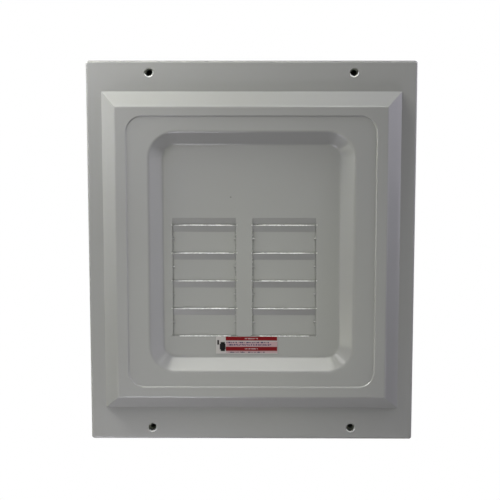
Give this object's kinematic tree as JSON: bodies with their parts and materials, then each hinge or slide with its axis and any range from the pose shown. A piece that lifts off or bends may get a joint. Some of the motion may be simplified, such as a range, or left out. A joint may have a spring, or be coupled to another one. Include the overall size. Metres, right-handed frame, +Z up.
{
  "type": "residential load center",
  "caption": "Wall-mounted electrical load center box with a drawn, doorless front cover, two columns of break-out breaker plates, bus bars, lugs, and neutral and ground bars.",
  "frame": {"origin": "centre of the four wall holes, on the outer face of the back", "axes": "+X to the right seen from the front, +Y into the wall, +Z up; the front faces -Y"},
  "size_m": [0.294, 0.1042, 0.345],
  "materials": {
    "cover_paint": "semi-gloss light grey enamel",
    "plate_paint": "semi-gloss light grey enamel with sheared edges",
    "box_paint": "satin light grey enamel",
    "pan_zinc": "zinc plated",
    "base_plastic": "moulded black",
    "post_plastic": "moulded off-white",
    "bus_plate": "tin plated, satin",
    "lug_metal": "extruded and plated",
    "bar_metal": "extruded",
    "screw_zinc": "zinc plated",
    "bonding_green": "green dyed zinc",
    "hazard_print": "printed adhesive film",
    "rating_print": "printed adhesive paper"
  },
  "bodies": {
    "enclosure": {"box_back": "box_paint", "box_side_left": "box_paint", "box_side_right": "box_paint", "box_end_top": "box_paint", "box_end_bottom": "box_paint", "screw_tabs": "box_paint", "rating_label": "rating_print", "interior_pan": "pan_zinc", "breaker_rail_left": "pan_zinc", "breaker_rail_right": "pan_zinc", "rail_rivets": "screw_zinc", "insulating_base": "base_plastic", "bus_bar_a": "bus_plate", "bus_bar_b": "bus_plate", "line_lug_a": "lug_metal", "line_lug_b": "lug_metal", "neutral_lug": "lug_metal", "bus_fixing_screws": "screw_zinc", "base_fixing_screws": "screw_zinc", "pan_fixing_screws": "screw_zinc", "neutral_bar": "bar_metal", "neutral_posts": "post_plastic", "neutral_terminal_screws": "screw_zinc", "neutral_fixing_screws": "screw_zinc", "bonding_screw": "bonding_green", "ground_bar": "bar_metal", "ground_terminal_screws": "screw_zinc", "ground_fixing_screws": "screw_zinc", "knockouts_top": "box_paint", "knockouts_bottom": "box_paint", "knockouts_left": "box_paint", "knockouts_right": "box_paint", "knockouts_back": "box_paint"},
    "front_cover": {"cover": "cover_paint", "hazard_label": "hazard_print"},
    "plate_left_1": {"twist_out_left_1": "plate_paint"},
    "plate_left_2": {"twist_out_left_2": "plate_paint"},
    "plate_left_3": {"twist_out_left_3": "plate_paint"},
    "plate_left_4": {"twist_out_left_4": "plate_paint"},
    "plate_right_1": {"twist_out_right_1": "plate_paint"},
    "plate_right_2": {"twist_out_right_2": "plate_paint"},
    "plate_right_3": {"twist_out_right_3": "plate_paint"},
    "plate_right_4": {"twist_out_right_4": "plate_paint"},
    "line_lug_a_set_screw": {"line_lug_a_screw": "screw_zinc"},
    "line_lug_b_set_screw": {"line_lug_b_screw": "screw_zinc"},
    "neutral_lug_set_screw": {"neutral_lug_screw": "screw_zinc"}
  },
  "joints": [
    {"name": "cover_lift_off", "type": "slide", "parent": "enclosure", "child": "front_cover", "axis": [0, -1, 0], "range_m": [0, 0.15]},
    {"name": "twist_left_1", "type": "hinge", "parent": "front_cover", "child": "plate_left_1", "pos_m": [-0.0425, -0.0932, 0.0138], "axis": [1, 0, 0], "range_deg": [0, 60]},
    {"name": "twist_left_2", "type": "hinge", "parent": "front_cover", "child": "plate_left_2", "pos_m": [-0.0425, -0.0932, -0.0116], "axis": [1, 0, 0], "range_deg": [0, 60]},
    {"name": "twist_left_3", "type": "hinge", "parent": "front_cover", "child": "plate_left_3", "pos_m": [-0.0425, -0.0932, -0.037], "axis": [1, 0, 0], "range_deg": [0, 60]},
    {"name": "twist_left_4", "type": "hinge", "parent": "front_cover", "child": "plate_left_4", "pos_m": [-0.0425, -0.0932, -0.0624], "axis": [1, 0, 0], "range_deg": [0, 60]},
    {"name": "twist_right_1", "type": "hinge", "parent": "front_cover", "child": "plate_right_1", "pos_m": [0.0295, -0.0932, 0.0138], "axis": [1, 0, 0], "range_deg": [0, 60]},
    {"name": "twist_right_2", "type": "hinge", "parent": "front_cover", "child": "plate_right_2", "pos_m": [0.0295, -0.0932, -0.0116], "axis": [1, 0, 0], "range_deg": [0, 60]},
    {"name": "twist_right_3", "type": "hinge", "parent": "front_cover", "child": "plate_right_3", "pos_m": [0.0295, -0.0932, -0.037], "axis": [1, 0, 0], "range_deg": [0, 60]},
    {"name": "twist_right_4", "type": "hinge", "parent": "front_cover", "child": "plate_right_4", "pos_m": [0.0295, -0.0932, -0.0624], "axis": [1, 0, 0], "range_deg": [0, 60]},
    {"name": "line_lug_a_clamp", "type": "slide", "parent": "enclosure", "child": "line_lug_a_set_screw", "axis": [0, 1, 0], "range_m": [0, 0.009]},
    {"name": "line_lug_b_clamp", "type": "slide", "parent": "enclosure", "child": "line_lug_b_set_screw", "axis": [0, 1, 0], "range_m": [0, 0.009]},
    {"name": "neutral_lug_clamp", "type": "slide", "parent": "enclosure", "child": "neutral_lug_set_screw", "axis": [0, 1, 0], "range_m": [0, 0.009]}
  ]
}
